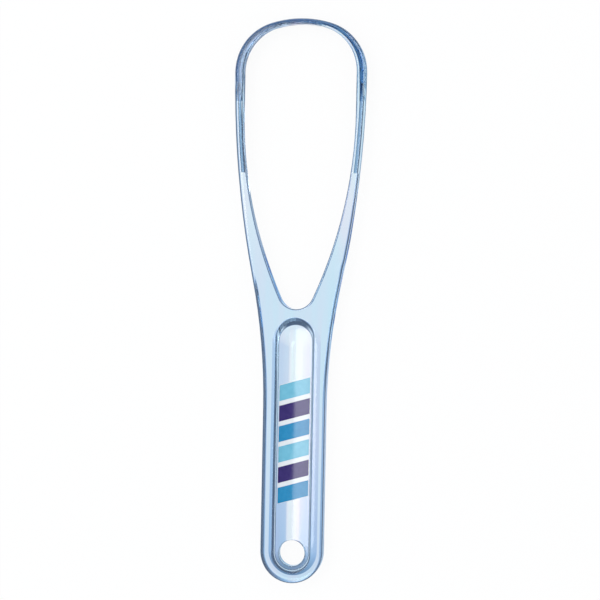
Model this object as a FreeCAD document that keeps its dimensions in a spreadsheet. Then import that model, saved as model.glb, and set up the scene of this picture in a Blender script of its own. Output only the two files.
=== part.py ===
import FreeCAD, Part
import math
import os

import Sketcher
from FreeCAD import Vector

# Tongue scraper, lying on its back: X across, Y from the tail to the loop, Z up.
# Sketches are drawn with their origin at the tail end; the finished pieces are
# moved back by half the length, so the part's origin is under its middle.

SIZES = {
    # Outline of the moulded frame
    "overall_length": 165.0,
    "frame_thickness": 5.0,
    "handle_width": 18.4,
    "flare_length": 98.3,
    "flare_radius": 183.8,
    "loop_width": 38.8,
    "shoulder_radius": 14.9,
    "crown_radius": 30.0,
    # Opening inside the arms and the loop
    "opening_length": 85.0,
    "crotch_radius": 5.3,
    "opening_straight": 11.5,
    "side_rim": 2.8,
    "crown_rim": 1.7,
    # Raised underside of the loop
    "head_lift": 2.2,
    "head_length": 47.0,
    "ramp_offset": 4.0,
    # Recesses in the handle and the hang hole
    "rail_width": 3.88,
    "tail_rim": 3.4,
    "neck_wall": 2.4,
    "neck_slope": 2.0,
    "back_rail_width": 2.0,
    "back_floor_width": 3.0,
    "back_neck_slope": 1.5,
    "web_thickness": 1.4,
    "front_lean": 0.15,
    "hole_ledge": 1.57,
    # Rounded edges
    "outer_edge_radius": 1.5,
    "back_edge_radius": 1.2,
    "opening_edge_radius": 0.7,
    "under_edge_radius": 0.6,
    "front_rim_radius": 0.6,
    "back_rim_radius": 0.3,
    "front_floor_radius": 0.35,
    "back_floor_radius": 4.5,
    "hole_edge_radius": 0.25,
    # Blade seated in the underside of the loop
    "blade_inset": 0.35,
    "blade_crown_wall": 0.6,
    "blade_side_wall": 0.75,
    "blade_depth": 1.6,
    "seat_clearance": 0.05,
    "knee_drop": 8.5,
    "tang_inset": 0.95,
    "tang_width": 0.7,
    "tang_length": 29.5,
    "edge_inset": 0.9,
    "edge_width": 0.5,
    "edge_drop": 3.0,
    "edge_radius": 0.2,
    # Print on the recess floor, laid out for a handle of the artwork's length
    "artwork_length": 77.6,
    "print_start": 23.0,
    "print_end_gap": 17.4,
    "print_side_gap": 0.82,
    "print_margin": 0.15,
    "band_share": 0.7667,
    "band_slant": 2.6,
    "ink_thickness": 0.05,
    "ink_clearance": 0.01,
}

BAND_COLOURS = ("teal", "indigo", "aqua", "teal", "indigo", "aqua")

# Places on a sketch's pieces, and the sketch's own origin
START, END, CENTRE = range(1, 4)
ORIGIN = (-1, START)

doc = FreeCAD.newDocument("tongue_scraper")
sheet = doc.addObject("Spreadsheet::Sheet", "Sizes")
for row, (alias, value) in enumerate(SIZES.items(), start=1):
    sheet.set(f"A{row}", alias)
    sheet.set(f"B{row}", str(value))
    sheet.setAlias(f"B{row}", alias)
doc.recompute()


def size(alias):
    """The number in a cell of the sheet."""
    return float(sheet.get(alias))


def line(x_from, y_from, x_to, y_to):
    return Part.LineSegment(Vector(x_from, y_from, 0), Vector(x_to, y_to, 0))


def arc(x_centre, y_centre, radius, start, end):
    """An arc that runs anticlockwise between two angles in radians."""
    circle = Part.Circle(Vector(x_centre, y_centre, 0), Vector(0, 0, 1), radius)
    return Part.ArcOfCircle(circle, start, end)


def new_body(label):
    body = doc.addObject("PartDesign::Body", label)
    body.Label = label
    body.setExpression("Placement.Base.y", "-Sizes.overall_length / 2")
    return body


def new_sketch(body, name, plane="XY_Plane", lift="0"):
    sketch = body.newObject("Sketcher::SketchObject", name)
    support = next(item for item in body.Origin.OriginFeatures if item.Role == plane)
    sketch.AttachmentSupport = (support, [""])
    sketch.MapMode = "FlatFace"
    sketch.setExpression("AttachmentOffset.Base.z", lift)
    return sketch


def rule(sketch, kind, *references):
    """Adds a geometric constraint."""
    sketch.addConstraint(Sketcher.Constraint(kind, *references))


def keep_on_middle(sketch, piece, place):
    """Keeps a point on the sketch's upright axis."""
    rule(sketch, "PointOnObject", piece, place, -2)


def drawn_value(sketch, kind, references):
    """What a dimension measures on the geometry as drawn."""
    if kind == "Radius":
        return sketch.Geometry[references[0]].Radius
    span = sketch.getPoint(*references[2:]) - sketch.getPoint(*references[:2])
    return span.x if kind == "DistanceX" else span.y


def drive(sketch, kind, *references_and_expression):
    """Adds a dimension and ties it to the sheet."""
    *references, expression = references_and_expression
    value = drawn_value(sketch, kind, references)
    index = sketch.addConstraint(Sketcher.Constraint(kind, *references, value))
    sketch.setExpression(f"Constraints[{index}]", expression)


def join(sketch, first, second, smooth):
    """Joins the nearest ends of two drawn pieces, smoothly or at a corner."""
    pairs = [(near, far) for near in (START, END) for far in (START, END)]

    def gap(ends):
        return sketch.getPoint(first, ends[0]).distanceToPoint(sketch.getPoint(second, ends[1]))

    near, far = min(pairs, key=gap)
    rule(sketch, "Tangent" if smooth else "Coincident", first, near, second, far)


def chain(sketch, pieces, corners):
    """Draws a closed outline; the joints named in corners are not smooth."""
    first = sketch.GeometryCount
    for piece in pieces.values():
        sketch.addGeometry(piece, False)
    names = list(pieces)
    index = {name: first + place for place, name in enumerate(names)}
    for name, following in zip(names, names[1:] + names[:1]):
        join(sketch, index[name], index[following], (name, following) not in corners)
    return index


def pad(body, sketch, name, length):
    feature = body.newObject("PartDesign::Pad", name)
    feature.Profile = sketch
    feature.setExpression("Length", length)
    return feature


def pocket(body, sketch, name, length=None, upward=False, both_ways=False):
    """Cuts a sketch into its body, to a depth or all the way through."""
    doc.recompute()
    before = body.Tip.Shape.Volume
    feature = body.newObject("PartDesign::Pocket", name)
    feature.Profile = sketch
    feature.Reversed = upward
    feature.Midplane = both_ways
    if length:
        feature.setExpression("Length", length)
    else:
        feature.Type = "ThroughAll"
    doc.recompute()
    if body.Tip.Shape.Volume >= before:
        raise RuntimeError(f"{name} cuts nothing")
    return feature


def mirrored(body, features, name):
    """Doubles features across the YZ plane."""
    mirror = body.newObject("PartDesign::Mirrored", name)
    mirror.Originals = features
    plane = next(item for item in body.Origin.OriginFeatures if item.Role == "YZ_Plane")
    mirror.MirrorPlane = (plane, [""])
    body.Tip = mirror
    doc.recompute()
    return mirror


def fillet(body, name, radius, edges):
    """Rounds the given edges of the body."""
    base = body.Tip
    names = [
        f"Edge{place}"
        for place, edge in enumerate(base.Shape.Edges, start=1)
        if any(edge.isSame(chosen) for chosen in edges)
    ]
    feature = body.newObject("PartDesign::Fillet", name)
    feature.Base = (base, names)
    feature.setExpression("Radius", radius)
    doc.recompute()
    return feature


def lies_level(shape, height):
    box = shape.BoundBox
    return abs(box.ZMin - height) < 1e-4 and abs(box.ZMax - height) < 1e-4


# Sizes that follow from those in the sheet
CROWN_CENTRE = "(Sizes.overall_length - Sizes.crown_radius)"
SHOULDER_RISE = (
    "sqrt((Sizes.crown_radius - Sizes.shoulder_radius)^2"
    " - (Sizes.loop_width / 2 - Sizes.shoulder_radius)^2)"
)
WIDEST_LEVEL = f"({CROWN_CENTRE} + {SHOULDER_RISE})"
OPENING_START = "(Sizes.overall_length - Sizes.opening_length)"
SPREAD = "((Sizes.loop_width - Sizes.handle_width) / 2)"
BULGE_RADIUS = f"(({SPREAD}^2 + Sizes.flare_length^2) / (2 * {SPREAD}) - Sizes.flare_radius)"
BLADE_CROWN_WIDTH = "(Sizes.crown_rim - Sizes.blade_inset - Sizes.blade_crown_wall)"
BLADE_SIDE_WIDTH = "(Sizes.side_rim - Sizes.blade_inset - Sizes.blade_side_wall)"
RECESS_RADIUS = "(Sizes.handle_width / 2 - Sizes.rail_width)"
RECESS_TAIL = f"(Sizes.tail_rim + {RECESS_RADIUS})"
RECESS_NECK = f"({OPENING_START} - Sizes.neck_wall - {RECESS_RADIUS})"
BACK_RADIUS = "(Sizes.handle_width / 2 - Sizes.back_rail_width)"
BACK_NECK = f"({OPENING_START} - Sizes.neck_wall - {BACK_RADIUS})"
RECESS_DEPTH = "((Sizes.frame_thickness - Sizes.web_thickness) / 2)"
FLOOR_LEVEL = "((Sizes.frame_thickness + Sizes.web_thickness) / 2)"


def crown_centre():
    return size("overall_length") - size("crown_radius")


def shoulder_rise():
    """Height of the widest level above the crown's centre."""
    reach = size("crown_radius") - size("shoulder_radius")
    return math.sqrt(reach**2 - (size("loop_width") / 2 - size("shoulder_radius")) ** 2)


def widest_level():
    """Height along Y at which the loop is widest."""
    return crown_centre() + shoulder_rise()


def opening_start():
    """Height along Y of the bottom of the opening."""
    return size("overall_length") - size("opening_length")


def spread():
    """How far the loop's side stands out from the handle's side."""
    return (size("loop_width") - size("handle_width")) / 2


def bulge_radius():
    """Radius of the arm's outward curve, which runs into the flare."""
    return (spread() ** 2 + size("flare_length") ** 2) / (2 * spread()) - size("flare_radius")


def blade_crown_width():
    return size("crown_rim") - size("blade_inset") - size("blade_crown_wall")


def blade_side_width():
    return size("side_rim") - size("blade_inset") - size("blade_side_wall")


def recess_radius():
    return size("handle_width") / 2 - size("rail_width")


def shoulder_arc(crown_radius, half_width):
    """The arc that is upright at the widest level and runs into a crown: radius and end angle."""
    rise = shoulder_rise()
    radius = (crown_radius**2 - half_width**2 - rise**2) / (2 * (crown_radius - half_width))
    return radius, math.atan2(rise, half_width - radius)


def frame_outline(sketch):
    """The right half of the frame, from the tail round the loop to the crotch."""
    length = size("overall_length")
    half_handle = size("handle_width") / 2
    half_loop = size("loop_width") / 2
    level = widest_level()
    flare_foot = level - size("flare_length")
    flare = size("flare_radius")
    bulge = bulge_radius()
    lean = math.asin(size("flare_length") / (flare + bulge))
    crown = size("crown_radius")
    shoulder, meet = shoulder_arc(crown, half_loop)

    inner_half = half_loop - size("side_rim")
    inner_crown = crown - size("crown_rim")
    inner_shoulder, inner_meet = shoulder_arc(inner_crown, inner_half)
    crotch = size("crotch_radius")
    crotch_centre = opening_start() + crotch
    straight_foot = level - size("opening_straight")
    fall = straight_foot - crotch_centre
    side = (inner_half**2 + fall**2 - crotch**2) / (2 * (inner_half - crotch))
    slope = math.asin(fall / (side - crotch))

    pieces = {
        "tail": arc(0, half_handle, half_handle, -math.pi / 2, 0),
        "handle_side": line(half_handle, half_handle, half_handle, flare_foot),
        "flare": arc(half_handle + flare, flare_foot, flare, math.pi - lean, math.pi),
        "bulge": arc(half_loop - bulge, level, bulge, -lean, 0),
        "shoulder": arc(half_loop - shoulder, level, shoulder, 0, meet),
        "crown": arc(0, crown_centre(), crown, meet, math.pi / 2),
        "crown_cut": line(0, length, 0, length - size("crown_rim")),
        "inner_crown": arc(0, crown_centre(), inner_crown, inner_meet, math.pi / 2),
        "inner_shoulder": arc(inner_half - inner_shoulder, level, inner_shoulder, 0, inner_meet),
        "straight": line(inner_half, level, inner_half, straight_foot),
        "opening_side": arc(inner_half - side, straight_foot, side, -slope, 0),
        "crotch": arc(0, crotch_centre, crotch, -math.pi / 2, -slope),
        "handle_cut": line(0, opening_start(), 0, 0),
    }
    corners = {
        ("crown", "crown_cut"),
        ("crown_cut", "inner_crown"),
        ("crotch", "handle_cut"),
        ("handle_cut", "tail"),
    }
    part = chain(sketch, pieces, corners)

    rule(sketch, "Coincident", part["handle_cut"], END, *ORIGIN)
    rule(sketch, "Vertical", part["handle_cut"])
    for end in (START, END):
        keep_on_middle(sketch, part["crown_cut"], end)
    for name in ("tail", "crown", "inner_crown", "crotch"):
        keep_on_middle(sketch, part[name], CENTRE)
    rule(sketch, "Vertical", part["handle_side"])
    rule(sketch, "Vertical", part["straight"])
    rule(sketch, "Horizontal", part["bulge"], CENTRE, part["bulge"], END)

    drive(sketch, "DistanceX", *ORIGIN, part["handle_side"], END, "Sizes.handle_width / 2")
    drive(sketch, "DistanceY", part["flare"], END, part["bulge"], END, "Sizes.flare_length")
    drive(sketch, "Radius", part["flare"], "Sizes.flare_radius")
    drive(sketch, "DistanceX", *ORIGIN, part["bulge"], END, "Sizes.loop_width / 2")
    drive(sketch, "Radius", part["shoulder"], "Sizes.shoulder_radius")
    drive(sketch, "Radius", part["crown"], "Sizes.crown_radius")
    drive(sketch, "DistanceY", *ORIGIN, part["crown"], END, "Sizes.overall_length")
    drive(sketch, "Radius", part["inner_crown"], "Sizes.crown_radius - Sizes.crown_rim")
    drive(sketch, "DistanceY", part["crown_cut"], END, part["crown_cut"], START, "Sizes.crown_rim")
    drive(sketch, "DistanceX", part["straight"], START, part["bulge"], END, "Sizes.side_rim")
    rule(sketch, "Horizontal", part["straight"], START, part["bulge"], END)
    drive(sketch, "DistanceY", part["straight"], END, part["straight"], START, "Sizes.opening_straight")
    drive(sketch, "Radius", part["crotch"], "Sizes.crotch_radius")
    drive(sketch, "DistanceY", *ORIGIN, part["crotch"], START, OPENING_START)


def underside_outline(sketch):
    """Side view of the space under the loop: an S-shaped ramp, then level to the crown."""
    length = size("overall_length")
    lift = size("head_lift")
    ramp_start = opening_start() + size("ramp_offset")
    ramp_end = length - size("head_length")
    run = ramp_end - ramp_start
    bend = (run**2 + lift**2) / (4 * lift)
    turn = math.asin(run / (2 * bend))
    quarter = math.pi / 2

    pieces = {
        "rising": arc(ramp_start, bend, bend, -quarter, -quarter + turn),
        "levelling": arc(ramp_end, lift - bend, bend, quarter, quarter + turn),
        "roof": line(ramp_end, lift, length + lift, lift),
        "front": line(length + lift, lift, length + lift, -lift),
        "bottom": line(length + lift, -lift, ramp_start, -lift),
        "back": line(ramp_start, -lift, ramp_start, 0),
    }
    corners = {("roof", "front"), ("front", "bottom"), ("bottom", "back"), ("back", "rising")}
    part = chain(sketch, pieces, corners)

    rule(sketch, "Vertical", part["rising"], CENTRE, part["rising"], START)
    rule(sketch, "Horizontal", part["rising"], START, *ORIGIN)
    rule(sketch, "Equal", part["rising"], part["levelling"])
    rule(sketch, "Horizontal", part["roof"])
    rule(sketch, "Vertical", part["front"])
    rule(sketch, "Horizontal", part["bottom"])
    rule(sketch, "Vertical", part["back"])

    drive(sketch, "DistanceX", *ORIGIN, part["rising"], START, f"{OPENING_START} + Sizes.ramp_offset")
    drive(sketch, "DistanceX", *ORIGIN, part["levelling"], START, "Sizes.overall_length - Sizes.head_length")
    drive(sketch, "DistanceY", *ORIGIN, part["roof"], START, "Sizes.head_lift")
    drive(sketch, "DistanceX", *ORIGIN, part["roof"], END, "Sizes.overall_length + Sizes.head_lift")
    drive(sketch, "DistanceY", part["front"], END, *ORIGIN, "Sizes.head_lift")


def recess_outline(sketch, radius, tail_centre, neck_centre):
    """A long rounded outline between the handle's rails."""
    pieces = {
        "tail_end": arc(0, 1, 1, math.pi, 2 * math.pi),
        "right": line(1, 1, 1, 2),
        "neck_end": arc(0, 2, 1, 0, math.pi),
        "left": line(-1, 2, -1, 1),
    }
    part = chain(sketch, pieces, corners=())
    keep_on_middle(sketch, part["tail_end"], CENTRE)
    keep_on_middle(sketch, part["neck_end"], CENTRE)
    rule(sketch, "Vertical", part["right"])
    drive(sketch, "DistanceY", *ORIGIN, part["neck_end"], CENTRE, neck_centre)
    drive(sketch, "DistanceY", *ORIGIN, part["tail_end"], CENTRE, tail_centre)
    drive(sketch, "Radius", part["tail_end"], radius)


def band_outline(sketch, grow, grow_text):
    """The right half of the blade's seat: round the loop, then a tang down the arm.

    The outline is grown on all sides by the given clearance.
    """
    level = widest_level()
    outer_half = size("loop_width") / 2 - size("blade_inset") + grow
    outer_crown = size("crown_radius") - size("blade_inset") + grow
    inner_half = outer_half - blade_side_width() - 2 * grow
    inner_crown = outer_crown - blade_crown_width() - 2 * grow
    outer_shoulder, outer_meet = shoulder_arc(outer_crown, outer_half)
    inner_shoulder, inner_meet = shoulder_arc(inner_crown, inner_half)
    tang_centre = size("loop_width") / 2 - bulge_radius()
    outer_tang = bulge_radius() - size("tang_inset") + grow
    inner_tang = outer_tang - size("tang_width") - 2 * grow
    knee = size("knee_drop")
    tip = size("tang_length") + grow

    def tang_arc(radius):
        return arc(tang_centre, level, radius, -math.asin(tip / radius), -math.asin(knee / radius))

    def across(radius, drop):
        return tang_centre + math.sqrt(radius**2 - drop**2)

    pieces = {
        "outer_crown": arc(0, crown_centre(), outer_crown, outer_meet, math.pi / 2),
        "outer_shoulder": arc(outer_half - outer_shoulder, level, outer_shoulder, 0, outer_meet),
        "outer_knee": line(outer_half, level, across(outer_tang, knee), level - knee),
        "outer_tang": tang_arc(outer_tang),
        "tip": line(across(outer_tang, tip), level - tip, across(inner_tang, tip), level - tip),
        "inner_tang": tang_arc(inner_tang),
        "inner_knee": line(across(inner_tang, knee), level - knee, inner_half, level),
        "inner_shoulder": arc(inner_half - inner_shoulder, level, inner_shoulder, 0, inner_meet),
        "inner_crown": arc(0, crown_centre(), inner_crown, inner_meet, math.pi / 2),
        "crown_cut": line(0, crown_centre() + inner_crown, 0, crown_centre() + outer_crown),
    }
    smooth = {("outer_crown", "outer_shoulder"), ("inner_shoulder", "inner_crown")}
    names = list(pieces)
    corners = set(zip(names, names[1:] + names[:1])) - smooth
    part = chain(sketch, pieces, corners)

    keep_on_middle(sketch, part["outer_crown"], CENTRE)
    rule(sketch, "Coincident", part["inner_crown"], CENTRE, part["outer_crown"], CENTRE)
    keep_on_middle(sketch, part["crown_cut"], START)
    keep_on_middle(sketch, part["crown_cut"], END)
    for name in ("outer_shoulder", "inner_shoulder"):
        rule(sketch, "Horizontal", part[name], CENTRE, part[name], START)
        drive(sketch, "DistanceY", *ORIGIN, part[name], START, WIDEST_LEVEL)
    rule(sketch, "Horizontal", part["outer_tang"], CENTRE, part["outer_shoulder"], START)
    rule(sketch, "Coincident", part["inner_tang"], CENTRE, part["outer_tang"], CENTRE)
    rule(sketch, "Horizontal", part["outer_tang"], END, part["inner_tang"], END)
    rule(sketch, "Horizontal", part["tip"])

    outside = f"Sizes.blade_inset + {grow_text}"
    crown_inside = f"Sizes.blade_inset - {BLADE_CROWN_WIDTH} - {grow_text}"
    side_inside = f"Sizes.blade_inset - {BLADE_SIDE_WIDTH} - {grow_text}"
    reach = f"{BULGE_RADIUS} - Sizes.blade_inset + {grow_text}"
    tang_outside = f"{BULGE_RADIUS} - Sizes.tang_inset + {grow_text}"
    tang_inside = f"{BULGE_RADIUS} - Sizes.tang_inset - Sizes.tang_width - {grow_text}"
    tip_drop = f"Sizes.tang_length + {grow_text}"
    drive(sketch, "DistanceY", *ORIGIN, part["outer_crown"], CENTRE, CROWN_CENTRE)
    drive(sketch, "Radius", part["outer_crown"], f"Sizes.crown_radius - {outside}")
    drive(sketch, "Radius", part["inner_crown"], f"Sizes.crown_radius - {crown_inside}")
    half_loop = "Sizes.loop_width / 2"
    drive(sketch, "DistanceX", *ORIGIN, part["outer_shoulder"], START, f"{half_loop} - {outside}")
    drive(sketch, "DistanceX", *ORIGIN, part["inner_shoulder"], START, f"{half_loop} - {side_inside}")
    drive(sketch, "DistanceX", part["outer_tang"], CENTRE, part["outer_shoulder"], START, reach)
    drive(sketch, "Radius", part["outer_tang"], tang_outside)
    drive(sketch, "Radius", part["inner_tang"], tang_inside)
    drive(sketch, "DistanceY", part["outer_tang"], END, part["outer_shoulder"], START, "Sizes.knee_drop")
    drive(sketch, "DistanceY", part["tip"], START, part["outer_shoulder"], START, tip_drop)


def skirt_outline(sketch, inset, side_width, crown_width, drop):
    """The right half of one level of the blade below the loop, down to its end in the arm.

    Each width is a number and its expression.
    """
    level = widest_level()
    outer_half = size("loop_width") / 2 - size(inset)
    outer_crown = size("crown_radius") - size(inset)
    inner_half = outer_half - side_width[0]
    inner_crown = outer_crown - crown_width[0]
    outer_shoulder, outer_meet = shoulder_arc(outer_crown, outer_half)
    inner_shoulder, inner_meet = shoulder_arc(inner_crown, inner_half)
    foot = level - size(drop)

    pieces = {
        "outer_crown": arc(0, crown_centre(), outer_crown, outer_meet, math.pi / 2),
        "outer_shoulder": arc(outer_half - outer_shoulder, level, outer_shoulder, 0, outer_meet),
        "outer_side": line(outer_half, level, outer_half, foot),
        "foot": line(outer_half, foot, inner_half, foot),
        "inner_side": line(inner_half, foot, inner_half, level),
        "inner_shoulder": arc(inner_half - inner_shoulder, level, inner_shoulder, 0, inner_meet),
        "inner_crown": arc(0, crown_centre(), inner_crown, inner_meet, math.pi / 2),
        "crown_cut": line(0, crown_centre() + inner_crown, 0, crown_centre() + outer_crown),
    }
    corners = {
        ("outer_side", "foot"),
        ("foot", "inner_side"),
        ("inner_crown", "crown_cut"),
        ("crown_cut", "outer_crown"),
    }
    part = chain(sketch, pieces, corners)

    keep_on_middle(sketch, part["outer_crown"], CENTRE)
    rule(sketch, "Coincident", part["inner_crown"], CENTRE, part["outer_crown"], CENTRE)
    keep_on_middle(sketch, part["crown_cut"], START)
    keep_on_middle(sketch, part["crown_cut"], END)
    rule(sketch, "Vertical", part["outer_side"])
    rule(sketch, "Vertical", part["inner_side"])
    rule(sketch, "Horizontal", part["foot"])

    outside = f"Sizes.{inset}"
    crown_inside = f"Sizes.{inset} - {crown_width[1]}"
    side_inside = f"Sizes.{inset} - {side_width[1]}"
    drive(sketch, "DistanceY", *ORIGIN, part["outer_crown"], CENTRE, CROWN_CENTRE)
    drive(sketch, "Radius", part["outer_crown"], f"Sizes.crown_radius - {outside}")
    drive(sketch, "Radius", part["inner_crown"], f"Sizes.crown_radius - {crown_inside}")
    drive(sketch, "DistanceX", *ORIGIN, part["outer_side"], START, f"Sizes.loop_width / 2 - {outside}")
    drive(sketch, "DistanceX", *ORIGIN, part["inner_side"], END, f"Sizes.loop_width / 2 - {side_inside}")
    drive(sketch, "DistanceY", *ORIGIN, part["outer_side"], START, WIDEST_LEVEL)
    drive(sketch, "DistanceY", *ORIGIN, part["inner_side"], END, WIDEST_LEVEL)
    drive(sketch, "DistanceY", part["foot"], START, part["outer_side"], START, f"Sizes.{drop}")


def patch_outline(sketch, width, start, height):
    """A slanted four-sided patch of ink, upright at its sides."""
    pieces = {
        "bottom": line(-1, 0, 1, 1),
        "right": line(1, 1, 1, 2),
        "top": line(1, 2, -1, 1),
        "left": line(-1, 1, -1, 0),
    }
    names = list(pieces)
    part = chain(sketch, pieces, corners=set(zip(names, names[1:] + names[:1])))
    rule(sketch, "Vertical", part["left"])
    rule(sketch, "Vertical", part["right"])
    rule(sketch, "Parallel", part["bottom"], part["top"])
    drive(sketch, "DistanceX", part["left"], END, *ORIGIN, f"({width}) / 2")
    drive(sketch, "DistanceX", *ORIGIN, part["right"], START, f"({width}) / 2")
    drive(sketch, "DistanceY", *ORIGIN, part["left"], END, start)
    drive(sketch, "DistanceY", part["left"], END, part["right"], START, "Sizes.band_slant")
    drive(sketch, "DistanceY", part["left"], END, part["left"], START, height)


def flat_face(shape, height):
    """The largest flat face at one height."""
    level = [face for face in shape.Faces if lies_level(face, height)]
    return max(level, key=lambda face: face.Area)


def recess_floor(shape, height):
    """The flat face at one height that lies nearest to the tail."""
    level = [face for face in shape.Faces if lies_level(face, height)]
    return min(level, key=lambda face: face.BoundBox.YMin)


def opening_edges(shape):
    """The front edges round the opening, the furthest wire from the tail."""
    face = flat_face(shape, size("frame_thickness"))
    return max(face.Wires, key=lambda wire: wire.BoundBox.YMin).Edges


def recess_edges(shape, height):
    """The edges round the handle's recess in a flat face."""
    face = flat_face(shape, height)
    rims = [wire for wire in face.Wires if not wire.isSame(face.OuterWire)]
    return min(rims, key=lambda wire: wire.BoundBox.YMin).Edges


def underside_edges(shape):
    """The edges round the opening where the faces that look down meet its upright walls."""
    down = [face for face in shape.Faces if face.normalAt(*middle(face)).z < -0.9]
    edges = [edge for face in down for edge in face.Edges]
    single = [edge for edge in edges if sum(edge.isSame(other) for other in edges) == 1]
    wires = [Part.Wire(group) for group in Part.sortEdges(single)]
    return max(wires, key=lambda wire: wire.BoundBox.YMin).Edges


def middle(face):
    """The parameters of a face's middle."""
    low_u, high_u, low_v, high_v = face.ParameterRange
    return (low_u + high_u) / 2, (low_v + high_v) / 2


def hole_edges(shape):
    """The edges at both ends of the hang hole's wall."""
    radius = recess_radius() - size("hole_ledge")
    round_faces = [face for face in shape.Faces if isinstance(face.Surface, Part.Cylinder)]
    wall = next(face for face in round_faces if abs(face.Surface.Radius - radius) < 1e-4)
    return [edge for edge in wall.Edges if not edge.isSeam(wall)]


def cut_recess(body, side, levels, radii, ends, neck_slope):
    """One recess of the handle, from its rim to its floor, with a slope at the neck end."""
    rim_level, floor_level = levels
    rim_radius, floor_radius = radii
    tail, neck = ends
    rim = new_sketch(body, f"{side}RecessRim", lift=rim_level)
    recess_outline(rim, rim_radius, tail, neck)
    floor = new_sketch(body, f"{side}RecessFloor", lift=floor_level)
    recess_outline(floor, floor_radius, tail, f"{neck} - {neck_slope}")
    doc.recompute()
    before = body.Tip.Shape.Volume
    cut = body.newObject("PartDesign::SubtractiveLoft", f"{side}Recess")
    cut.Profile = rim
    cut.Sections = [floor]
    doc.recompute()
    if body.Tip.Shape.Volume >= before:
        raise RuntimeError(f"{side} recess cuts nothing")


def moulded_frame():
    """The clear moulding: handle, arms and rim of the loop."""
    body = new_body("moulded_frame")
    outline = new_sketch(body, "FrameOutline")
    frame_outline(outline)
    half = pad(body, outline, "HalfFrame", "Sizes.frame_thickness")
    mirrored(body, [half], "WholeFrame")
    fillet(body, "BackEdge", "Sizes.back_edge_radius", flat_face(body.Tip.Shape, 0).OuterWire.Edges)

    underside = new_sketch(body, "UndersideOutline", "YZ_Plane")
    underside_outline(underside)
    pocket(body, underside, "RaisedUnderside", both_ways=True)

    thickness = size("frame_thickness")
    outer_edges = flat_face(body.Tip.Shape, thickness).OuterWire.Edges
    outer_limit = "min(Sizes.outer_edge_radius; 0.65 * Sizes.crown_rim)"
    opening_limit = "min(Sizes.opening_edge_radius; 0.3 * Sizes.crown_rim)"
    fillet(body, "OuterEdge", outer_limit, outer_edges)
    fillet(body, "OpeningEdge", opening_limit, opening_edges(body.Tip.Shape))
    under_limit = "min(Sizes.under_edge_radius; 0.7 * (Sizes.blade_crown_wall - Sizes.seat_clearance))"
    fillet(body, "UnderEdge", under_limit, underside_edges(body.Tip.Shape))

    front_levels = ("Sizes.frame_thickness", FLOOR_LEVEL)
    front_radii = (RECESS_RADIUS, f"{RECESS_RADIUS} - Sizes.front_lean")
    front_ends = (RECESS_TAIL, RECESS_NECK)
    cut_recess(body, "Front", front_levels, front_radii, front_ends, "Sizes.neck_slope")
    back_levels = ("0", RECESS_DEPTH)
    back_radii = (BACK_RADIUS, "Sizes.back_floor_width / 2")
    back_ends = ("Sizes.handle_width / 2", BACK_NECK)
    cut_recess(body, "Back", back_levels, back_radii, back_ends, "Sizes.back_neck_slope")
    fillet(body, "FrontRim", "Sizes.front_rim_radius", recess_edges(body.Tip.Shape, thickness))
    fillet(body, "BackRim", "Sizes.back_rim_radius", recess_edges(body.Tip.Shape, 0))
    web = size("web_thickness")
    front_floor = recess_floor(body.Tip.Shape, (thickness + web) / 2)
    fillet(body, "FrontFloorEdge", "Sizes.front_floor_radius", front_floor.Edges)
    back_floor = recess_floor(body.Tip.Shape, (thickness - web) / 2)
    fillet(body, "BackFloorEdge", "Sizes.back_floor_radius", back_floor.Edges)

    hole = new_sketch(body, "HangHoleOutline")
    circle = hole.addGeometry(Part.Circle(Vector(0, 1, 0), Vector(0, 0, 1), 1), False)
    keep_on_middle(hole, circle, CENTRE)
    drive(hole, "DistanceY", *ORIGIN, circle, CENTRE, RECESS_TAIL)
    drive(hole, "Radius", circle, f"{RECESS_RADIUS} - Sizes.hole_ledge")
    pocket(body, hole, "HangHole", upward=True)
    fillet(body, "HangHoleEdges", "Sizes.hole_edge_radius", hole_edges(body.Tip.Shape))

    groove = new_sketch(body, "GrooveOutline", lift="Sizes.head_lift")
    band_outline(groove, size("seat_clearance"), "Sizes.seat_clearance")
    cut = pocket(body, groove, "HalfGroove", "Sizes.blade_depth", upward=True)
    mirrored(body, [cut], "BladeGroove")
    return body


def scraper_blade():
    """The darker strip under the loop, with a scraping edge and two tangs."""
    body = new_body("scraper_blade")
    seat_level = "Sizes.head_lift - Sizes.seat_clearance"
    seat = new_sketch(body, "SeatOutline", lift=seat_level)
    band_outline(seat, 0, "0")
    strip = pad(body, seat, "Strip", "Sizes.blade_depth")
    top = new_sketch(body, "SkirtTop", lift=seat_level)
    side_width = (blade_side_width(), BLADE_SIDE_WIDTH)
    crown_width = (blade_crown_width(), BLADE_CROWN_WIDTH)
    skirt_outline(top, "blade_inset", side_width, crown_width, "knee_drop")
    edge = new_sketch(body, "SkirtEdge")
    edge_width = (size("edge_width"), "Sizes.edge_width")
    skirt_outline(edge, "edge_inset", edge_width, edge_width, "edge_drop")
    skirt = body.newObject("PartDesign::AdditiveLoft", "Skirt")
    skirt.Profile = top
    skirt.Sections = [edge]
    doc.recompute()
    mirrored(body, [strip, skirt], "WholeBlade")
    edge_limit = "min(Sizes.edge_radius; 0.45 * Sizes.edge_width)"
    fillet(body, "ScrapingEdge", edge_limit, flat_face(body.Tip.Shape, 0).Edges)
    return body


def ink_patch(label, width, start, height, lift):
    """One flat patch of ink."""
    body = new_body(label)
    outline = new_sketch(body, f"{label}_outline", lift=lift)
    patch_outline(outline, width, start, height)
    pad(body, outline, f"{label}_layer", "Sizes.ink_thickness")
    return body


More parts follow.
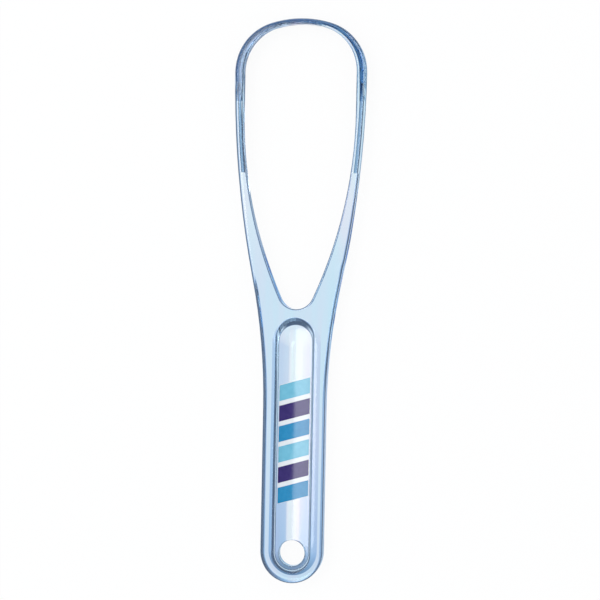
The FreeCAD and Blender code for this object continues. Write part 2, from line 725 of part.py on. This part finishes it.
def recess_print():
    """Slanted colour bands over a white base, spread along the recess floor."""
    recess_end = f"({OPENING_START} - Sizes.neck_wall)"
    spread = f"({recess_end} / Sizes.artwork_length)"
    print_start = f"(Sizes.print_start * {spread})"
    print_end = f"({recess_end} - Sizes.print_end_gap * {spread})"
    length = f"({print_end} - {print_start} - Sizes.band_slant)"
    width = f"(2 * ({RECESS_RADIUS} - Sizes.print_side_gap))"
    pitch = f"({length} / ({len(BAND_COLOURS) - 1} + Sizes.band_share))"
    band_height = f"{pitch} * Sizes.band_share"
    base_lift = f"{FLOOR_LEVEL} + Sizes.ink_clearance"
    band_lift = f"{base_lift} + Sizes.ink_thickness + Sizes.ink_clearance"
    base_start = f"{print_start} - Sizes.print_margin"
    base_height = f"{length} + 2 * Sizes.print_margin"
    base_width = f"{width} + 2 * Sizes.print_margin"
    patches = [ink_patch("print_white_base", base_width, base_start, base_height, base_lift)]
    for place, colour in enumerate(BAND_COLOURS):
        start = f"{print_start} + {place} * {pitch}"
        patches.append(ink_patch(f"print_band_{place + 1}_{colour}", width, start, band_height, band_lift))
    return patches


def check(pieces):
    """Stops if any object failed or any piece is not one sound solid."""
    doc.recompute()
    for item in doc.Objects:
        if "Invalid" in item.State or "Error" in item.State:
            raise RuntimeError(f"{item.Name} failed: {item.State}")
    for piece in pieces:
        if piece.Shape.isNull() or not piece.Shape.isValid() or len(piece.Shape.Solids) != 1:
            raise RuntimeError(f"{piece.Label} is not one sound solid")


def write(pieces):
    os.makedirs("parts", exist_ok=True)
    for piece in pieces:
        piece.Shape.exportStep(f"parts/{piece.Label}.step")
        print(f"{piece.Label}: {piece.Shape.Volume:.2f} mm3")


pieces = [moulded_frame(), scraper_blade(), *recess_print()]
check(pieces)
write(pieces)
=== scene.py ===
import math

import bmesh
import bpy
from mathutils import Matrix, Vector


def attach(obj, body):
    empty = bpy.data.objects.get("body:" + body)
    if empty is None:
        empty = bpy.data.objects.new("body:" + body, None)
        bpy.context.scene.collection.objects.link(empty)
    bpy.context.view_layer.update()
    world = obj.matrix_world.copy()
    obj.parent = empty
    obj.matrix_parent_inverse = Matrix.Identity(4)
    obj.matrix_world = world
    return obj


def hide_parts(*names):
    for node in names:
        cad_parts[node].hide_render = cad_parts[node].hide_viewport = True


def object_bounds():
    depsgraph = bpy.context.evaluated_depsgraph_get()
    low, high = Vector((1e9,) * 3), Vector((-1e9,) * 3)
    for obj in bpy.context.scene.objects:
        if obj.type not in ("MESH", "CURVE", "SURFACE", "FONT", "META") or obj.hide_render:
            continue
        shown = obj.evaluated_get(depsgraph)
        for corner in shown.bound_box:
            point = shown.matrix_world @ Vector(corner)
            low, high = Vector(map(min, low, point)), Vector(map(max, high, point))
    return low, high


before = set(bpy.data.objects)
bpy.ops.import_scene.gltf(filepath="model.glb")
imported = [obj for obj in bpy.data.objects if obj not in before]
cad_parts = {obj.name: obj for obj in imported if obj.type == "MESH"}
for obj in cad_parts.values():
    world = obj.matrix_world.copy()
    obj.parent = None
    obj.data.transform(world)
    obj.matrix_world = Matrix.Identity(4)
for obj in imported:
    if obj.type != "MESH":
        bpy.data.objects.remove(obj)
cad_low, cad_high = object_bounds()

# A tongue scraper lying on its back: X across, Y from the tail to the loop, Z up, in metres.
MM = 0.001

# Mesh clean-up: corners to merge, faces to join and edges to keep sharp
MERGE_GAP = 0.001 * MM
FLAT_ANGLE = math.radians(0.3)
SHARP_ANGLE = math.radians(32)
LARGE_FACE_WEIGHT = 100

# Noise in a moulded surface: cells per metre and detail, with two patterns drawn out along the part
NOISE = {"waves": (90.0, 1.0), "streaks": (240.0, 2.0), "haze": (650.0, 4.0)}
WAVE_STRETCH = (1.0, 0.35, 1.0)
STREAK_STRETCH = (1.0, 0.09, 1.0)
WAVE_DEPTH = 0.01 * MM

# Values of a mask that take the first and the second tint
TINT_FROM = 0.3
TINT_TO = 0.7

# Plastics: the colours their surface shades between, what they let through, and their density
PLASTIC_IOR = 1.5
CYAN_STREAK = (0.84, 0.985, 1.0)
LAVENDER_STREAK = (1.0, 0.925, 0.97)
CLEAR_BLUE = (0.22, 0.66, 0.92)
CLEAR_BLUE_DENSITY = 95.0
BLADE_DARK = (0.80, 0.87, 0.93)
BLADE_LIGHT = (0.86, 0.92, 0.97)
DEEP_BLUE = (0.36, 0.59, 0.76)
DEEP_BLUE_DENSITY = 900.0

# Inks: the darker and the lighter colour of each one's mottle
WHITE_INK = ((0.80, 0.82, 0.84), (0.84, 0.86, 0.88))
BAND_INKS = {
    "teal": ((0.020, 0.235, 0.47), (0.032, 0.275, 0.52)),
    "indigo": ((0.035, 0.020, 0.13), (0.048, 0.028, 0.16)),
    "aqua": ((0.16, 0.48, 0.64), (0.20, 0.54, 0.70)),
}
BAND_ROUNDS = 2

# Table: its size and colour, and its glow by how far a ray is off a direction that leans to +X, the
# camera's side; the glow's lavender, blue and dark-navy stops are painted shade that the plastic's edges
# and walls refract
TABLE_REACH = 3.0
TABLE_DROP = 0.2 * MM
TABLE_COLOUR = (0.95, 0.95, 0.95)
TABLE_WHITE_SHARE = 0.93
HALF_A_BOUNCE = 0.5
GLOW_LEAN = math.radians(9.0)
GLOW_AND_PAINTED_EDGE_SHADE_BY_ANGLE = (
    (0.004, (1.0, 1.0, 1.0)),
    (0.014, (0.88, 0.855, 0.93)),
    (0.025, (0.50, 0.645, 0.86)),
    (0.048, (0.24, 0.33, 0.48)),
    (0.085, (0.08, 0.105, 0.16)),
    (0.18, (0.08, 0.105, 0.16)),
    (0.30, (0.80, 0.86, 0.94)),
)

# Room: its colours from the horizon to overhead
ROOM_RISE = (
    (0.12, (0.46, 0.53, 0.62)),
    (0.55, (1.0, 1.0, 1.0)),
    (0.85, (1.0, 1.0, 1.0)),
    (0.95, (0.20, 0.29, 0.42)),
)

# Lamps: where they stand, what they face, their size and radiance, and the light's longest way
KEY_PLACE = Vector((-0.5, 0.3, 1.1))
KEY_AIM = Vector((0, 0, 0))
KEY_SIDE = 0.6
KEY_RADIANCE = 3.6
STRIP_PLACE = Vector((-0.1365, -0.1065, 0.9))
STRIP_AIM = Vector((STRIP_PLACE.x, STRIP_PLACE.y, 0))
STRIP_WIDTH = 0.0146
STRIP_LENGTH = 0.169
STRIP_RADIANCE = 4.5
LIGHT_BOUNCES = 32

# Camera: its turn and distance, how far it aims off the part's middle, and its lens in millimetres
CAMERA_YAW = math.radians(9.0)
CAMERA_ROLL = math.radians(1.12)
CAMERA_DISTANCE = 0.55
AIM_RIGHT = 0.90 * MM
AIM_UP = 0.22 * MM
LENS = 112.7
SENSOR_WIDTH = 36.0
NEAREST_SEEN = 0.01
FARTHEST_SEEN = 20.0


def add_nodes(tree, **kinds):
    """Adds one node of each kind to a tree, under its own name."""
    made = {}
    for name, kind in kinds.items():
        made[name] = tree.nodes.new(kind)
        made[name].name = name
    return made


def wire(tree, nodes, *links):
    """Joins nodes by links of four: a node and its output, then a node and its input."""
    for source, output, target, socket in links:
        tree.links.new(nodes[source].outputs[output], nodes[target].inputs[socket])


def set_stops(node, stops):
    """Gives a colour ramp its stops, in rising order."""
    elements = node.color_ramp.elements
    first, *between, last = stops
    for element, (position, colour) in ((elements[0], first), (elements[1], last)):
        element.position = position
        element.color = (*colour, 1)
    for position, colour in between:
        elements.new(position).color = (*colour, 1)


def empty_material(name):
    material = bpy.data.materials.new(name)
    material.use_nodes = True
    material.node_tree.nodes.clear()
    return material, material.node_tree


def glossy_material(name, transmission):
    """A material with its output and a glossy shader that lets a share of the light in."""
    material, tree = empty_material(name)
    nodes = add_nodes(tree, output="ShaderNodeOutputMaterial", shader="ShaderNodeBsdfPrincipled")
    nodes["shader"].inputs["IOR"].default_value = PLASTIC_IOR
    nodes["shader"].inputs["Transmission Weight"].default_value = transmission
    wire(tree, nodes, ("shader", "BSDF", "output", "Surface"))
    return material, tree, nodes


def moulding_group():
    """Slow waves, flow streaks and fine haze of a moulding, as two masks, a roughness and a height."""
    group = bpy.data.node_groups.new("moulded_surface", "ShaderNodeTree")
    for name in ("Gloss", "Haze", "Wave"):
        group.interface.new_socket(name, in_out="INPUT", socket_type="NodeSocketFloat")
    for name in ("Mask", "Streak", "Roughness", "Height"):
        group.interface.new_socket(name, in_out="OUTPUT", socket_type="NodeSocketFloat")
    nodes = add_nodes(
        group,
        inlet="NodeGroupInput",
        outlet="NodeGroupOutput",
        place="ShaderNodeTexCoord",
        wave_stretch="ShaderNodeMapping",
        streak_stretch="ShaderNodeMapping",
        waves="ShaderNodeTexNoise",
        streaks="ShaderNodeTexNoise",
        haze="ShaderNodeTexNoise",
        rough="ShaderNodeMath",
        height="ShaderNodeMath",
    )
    for pattern, (cells, detail) in NOISE.items():
        nodes[pattern].inputs["Scale"].default_value = cells
        nodes[pattern].inputs["Detail"].default_value = detail
    nodes["wave_stretch"].inputs["Scale"].default_value = WAVE_STRETCH
    nodes["streak_stretch"].inputs["Scale"].default_value = STREAK_STRETCH
    nodes["rough"].operation = "MULTIPLY_ADD"
    nodes["height"].operation = "MULTIPLY"
    wire(
        group,
        nodes,
        ("place", "Object", "wave_stretch", "Vector"),
        ("place", "Object", "streak_stretch", "Vector"),
        ("place", "Object", "haze", "Vector"),
        ("wave_stretch", "Vector", "waves", "Vector"),
        ("streak_stretch", "Vector", "streaks", "Vector"),
        ("haze", "Fac", "rough", 0),
        ("inlet", "Haze", "rough", 1),
        ("inlet", "Gloss", "rough", 2),
        ("waves", "Fac", "height", 0),
        ("inlet", "Wave", "height", 1),
        ("haze", "Fac", "outlet", "Mask"),
        ("streaks", "Fac", "outlet", "Streak"),
        ("rough", "Value", "outlet", "Roughness"),
        ("height", "Value", "outlet", "Height"),
    )
    return group


def place_moulding(tree, nodes, group, gloss, haze, wave):
    """Puts the moulded surface into a material."""
    nodes.update(add_nodes(tree, surface="ShaderNodeGroup", bump="ShaderNodeBump"))
    nodes["surface"].node_tree = group
    nodes["surface"].inputs["Gloss"].default_value = gloss
    nodes["surface"].inputs["Haze"].default_value = haze
    nodes["surface"].inputs["Wave"].default_value = wave
    nodes["bump"].inputs["Distance"].default_value = WAVE_DEPTH
    wire(
        tree,
        nodes,
        ("surface", "Roughness", "shader", "Roughness"),
        ("surface", "Height", "bump", "Height"),
        ("bump", "Normal", "shader", "Normal"),
    )


def tint(tree, nodes, mask, low, high):
    """Shades the base colour between two close colours by a mask of the moulded surface."""
    nodes.update(add_nodes(tree, tint="ShaderNodeValToRGB"))
    set_stops(nodes["tint"], ((TINT_FROM, low), (TINT_TO, high)))
    wire(tree, nodes, ("surface", mask, "tint", "Fac"), ("tint", "Color", "shader", "Base Color"))


def absorb(tree, nodes, colour, density):
    """Colours the light by its way through the plastic."""
    nodes.update(add_nodes(tree, depth="ShaderNodeVolumeAbsorption"))
    nodes["depth"].inputs["Color"].default_value = (*colour, 1)
    nodes["depth"].inputs["Density"].default_value = density
    wire(tree, nodes, ("depth", "Volume", "output", "Volume"))


def clear_blue_plastic(group):
    material, tree, nodes = glossy_material("clear_blue_plastic", transmission=1.0)
    place_moulding(tree, nodes, group, gloss=0.01, haze=0.02, wave=0.3)
    tint(tree, nodes, "Streak", CYAN_STREAK, LAVENDER_STREAK)
    absorb(tree, nodes, CLEAR_BLUE, CLEAR_BLUE_DENSITY)
    return material


def deep_blue_plastic(group):
    material, tree, nodes = glossy_material("deep_blue_plastic", transmission=1.0)
    place_moulding(tree, nodes, group, gloss=0.06, haze=0.06, wave=0.3)
    tint(tree, nodes, "Mask", BLADE_DARK, BLADE_LIGHT)
    absorb(tree, nodes, DEEP_BLUE, DEEP_BLUE_DENSITY)
    return material


def ink(group, name, low, high):
    """A glossy printed colour with the slight mottle of a screen print."""
    material, tree, nodes = glossy_material(name, transmission=0.0)
    place_moulding(tree, nodes, group, gloss=0.02, haze=0.01, wave=0.1)
    tint(tree, nodes, "Mask", low, high)
    return material


def smooth_piece(name, node, material):
    """A merged copy of a CAD node, smooth over its roundings and sharp at its corners."""
    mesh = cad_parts[node].data.copy()
    mesh.name = name
    mesh.materials.clear()
    mesh.materials.append(material)
    shape = bmesh.new()
    shape.from_mesh(mesh)
    bmesh.ops.remove_doubles(shape, verts=shape.verts, dist=MERGE_GAP)
    bmesh.ops.dissolve_limit(
        shape,
        angle_limit=FLAT_ANGLE,
        verts=shape.verts,
        edges=shape.edges,
        use_dissolve_boundaries=False,
    )
    for face in shape.faces:
        face.smooth = True
        face.material_index = 0
    for edge in shape.edges:
        edge.smooth = edge.calc_face_angle(math.pi) < SHARP_ANGLE
    shape.to_mesh(mesh)
    shape.free()
    piece = bpy.data.objects.new(name, mesh)
    bpy.context.scene.collection.objects.link(piece)
    normals = piece.modifiers.new("even_normals", "WEIGHTED_NORMAL")
    normals.keep_sharp = True
    normals.weight = LARGE_FACE_WEIGHT
    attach(piece, "root")
    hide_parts(node)


def paint_node(node, material):
    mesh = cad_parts[node].data
    mesh.materials.clear()
    mesh.materials.append(material)


def white_table_and_painted_edge_shade():
    """White to the eye with a faint shadow, and a leaning glow to what the plastic shows of it, whose
    lavender, blue and dark-navy bands are painted shade on the plastic's edges and walls.

    Light that something matt has scattered meets a plain white glow.
    """
    material, tree = empty_material("white_table_and_painted_edge_shade")
    nodes = add_nodes(
        tree,
        output="ShaderNodeOutputMaterial",
        matt="ShaderNodeBsdfDiffuse",
        white="ShaderNodeEmission",
        glow="ShaderNodeEmission",
        lean="ShaderNodeCombineXYZ",
        facing="ShaderNodeLayerWeight",
        fade="ShaderNodeValToRGB",
        path="ShaderNodeLightPath",
        scattered="ShaderNodeMath",
        brighter="ShaderNodeVectorMath",
        seen="ShaderNodeMath",
        eye="ShaderNodeMixShader",
        in_plastic="ShaderNodeMath",
        plastic="ShaderNodeMixShader",
    )
    nodes["matt"].inputs["Color"].default_value = (*TABLE_COLOUR, 1)
    nodes["lean"].inputs["X"].default_value = math.sin(GLOW_LEAN)
    nodes["lean"].inputs["Z"].default_value = math.cos(GLOW_LEAN)
    # Painted edge shade: rays that leave the plastic a little off the lean see lavender, blue, then dark
    # navy, before it turns pale again
    set_stops(nodes["fade"], GLOW_AND_PAINTED_EDGE_SHADE_BY_ANGLE)
    nodes["scattered"].operation = "GREATER_THAN"
    nodes["scattered"].inputs[1].default_value = HALF_A_BOUNCE
    nodes["brighter"].operation = "MAXIMUM"
    nodes["seen"].operation = "MULTIPLY"
    nodes["seen"].inputs[1].default_value = TABLE_WHITE_SHARE
    nodes["in_plastic"].operation = "MAXIMUM"
    wire(
        tree,
        nodes,
        ("path", "Is Camera Ray", "seen", 0),
        ("seen", "Value", "eye", "Fac"),
        ("matt", "BSDF", "eye", 1),
        ("white", "Emission", "eye", 2),
        ("lean", "Vector", "facing", "Normal"),
        ("facing", "Facing", "fade", "Fac"),
        ("path", "Diffuse Depth", "scattered", 0),
        ("fade", "Color", "brighter", 0),
        ("scattered", "Value", "brighter", 1),
        ("brighter", "Vector", "glow", "Color"),
        ("path", "Is Glossy Ray", "in_plastic", 0),
        ("path", "Is Transmission Ray", "in_plastic", 1),
        ("in_plastic", "Value", "plastic", "Fac"),
        ("eye", "Shader", "plastic", 1),
        ("glow", "Emission", "plastic", 2),
        ("plastic", "Shader", "output", "Surface"),
    )
    return material


def studio_floor():
    """A wide table top, just below the part."""
    shape = bmesh.new()
    bmesh.ops.create_grid(shape, x_segments=1, y_segments=1, size=TABLE_REACH)
    bmesh.ops.translate(shape, verts=shape.verts, vec=(0, 0, -TABLE_DROP))
    mesh = bpy.data.meshes.new("studio_floor")
    shape.to_mesh(mesh)
    shape.free()
    mesh.materials.append(white_table_and_painted_edge_shade())
    floor = bpy.data.objects.new("studio_floor", mesh)
    bpy.context.scene.collection.objects.link(floor)


def studio_world():
    """A pale room: grey-blue at the horizon, white above it and soft blue overhead, white to the eye."""
    world = bpy.data.worlds.new("studio_world")
    bpy.context.scene.world = world
    world.use_nodes = True
    tree = world.node_tree
    tree.nodes.clear()
    nodes = add_nodes(
        tree,
        output="ShaderNodeOutputWorld",
        room="ShaderNodeBackground",
        white="ShaderNodeBackground",
        place="ShaderNodeTexCoord",
        axes="ShaderNodeSeparateXYZ",
        rise="ShaderNodeValToRGB",
        path="ShaderNodeLightPath",
        mix="ShaderNodeMixShader",
    )
    set_stops(nodes["rise"], ROOM_RISE)
    nodes["white"].inputs["Color"].default_value = (1, 1, 1, 1)
    wire(
        tree,
        nodes,
        ("place", "Generated", "axes", "Vector"),
        ("axes", "Z", "rise", "Fac"),
        ("rise", "Color", "room", "Color"),
        ("path", "Is Camera Ray", "mix", "Fac"),
        ("room", "Background", "mix", 1),
        ("white", "Background", "mix", 2),
        ("mix", "Shader", "output", "Surface"),
    )


def soft_lamp(name, place, aim, width, length, radiance):
    """A rectangular lamp of a given brightness that faces a point."""
    data = bpy.data.lights.new(name, "AREA")
    data.shape = "RECTANGLE"
    data.size = width
    data.size_y = length
    data.energy = radiance * math.pi * width * length
    lamp = bpy.data.objects.new(name, data)
    lamp.location = place
    lamp.rotation_mode = "QUATERNION"
    lamp.rotation_quaternion = (place - aim).to_track_quat("Z", "Y")
    bpy.context.scene.collection.objects.link(lamp)
    return lamp


def studio_lamps():
    soft_lamp("key_lamp", KEY_PLACE, KEY_AIM, KEY_SIDE, KEY_SIDE, KEY_RADIANCE)
    strip = soft_lamp("strip_lamp", STRIP_PLACE, STRIP_AIM, STRIP_WIDTH, STRIP_LENGTH, STRIP_RADIANCE)
    # The strip gleams on the print and stays out of what the plastic refracts.
    strip.visible_transmission = False


def photo_camera():
    """Above the part and a little to its right, slightly rolled."""
    back = Vector((math.sin(CAMERA_YAW), 0, math.cos(CAMERA_YAW)))
    up = Vector((-math.sin(CAMERA_ROLL), math.cos(CAMERA_ROLL), 0))
    right = up.cross(back).normalized()
    up = back.cross(right)
    data = bpy.data.cameras.new("photo_camera")
    data.sensor_width = SENSOR_WIDTH
    data.lens = LENS
    data.clip_start = NEAREST_SEEN
    data.clip_end = FARTHEST_SEEN
    camera = bpy.data.objects.new("photo_camera", data)
    turn = Matrix((right, up, back)).transposed().to_4x4()
    aim = (cad_low + cad_high) / 2 + right * AIM_RIGHT + up * AIM_UP
    camera.matrix_world = Matrix.Translation(aim + back * CAMERA_DISTANCE) @ turn
    bpy.context.scene.collection.objects.link(camera)
    bpy.context.scene.camera = camera


surface = moulding_group()
smooth_piece("clear_frame", "moulded_frame", clear_blue_plastic(surface))
smooth_piece("blade_strip", "scraper_blade", deep_blue_plastic(surface))
paint_node("print_white_base", ink(surface, "white_ink", *WHITE_INK))
band_inks = {colour: ink(surface, f"{colour}_ink", *shades) for colour, shades in BAND_INKS.items()}
for place, colour in enumerate(list(BAND_INKS) * BAND_ROUNDS, start=1):
    paint_node(f"print_band_{place}_{colour}", band_inks[colour])

studio_floor()
studio_world()
studio_lamps()
photo_camera()

# Light runs along inside the clear plastic, so its paths are long.
light_paths = bpy.context.scene.cycles
light_paths.max_bounces = LIGHT_BOUNCES
light_paths.glossy_bounces = LIGHT_BOUNCES
light_paths.transmission_bounces = LIGHT_BOUNCES

bpy.context.scene.view_settings.view_transform = "Standard"
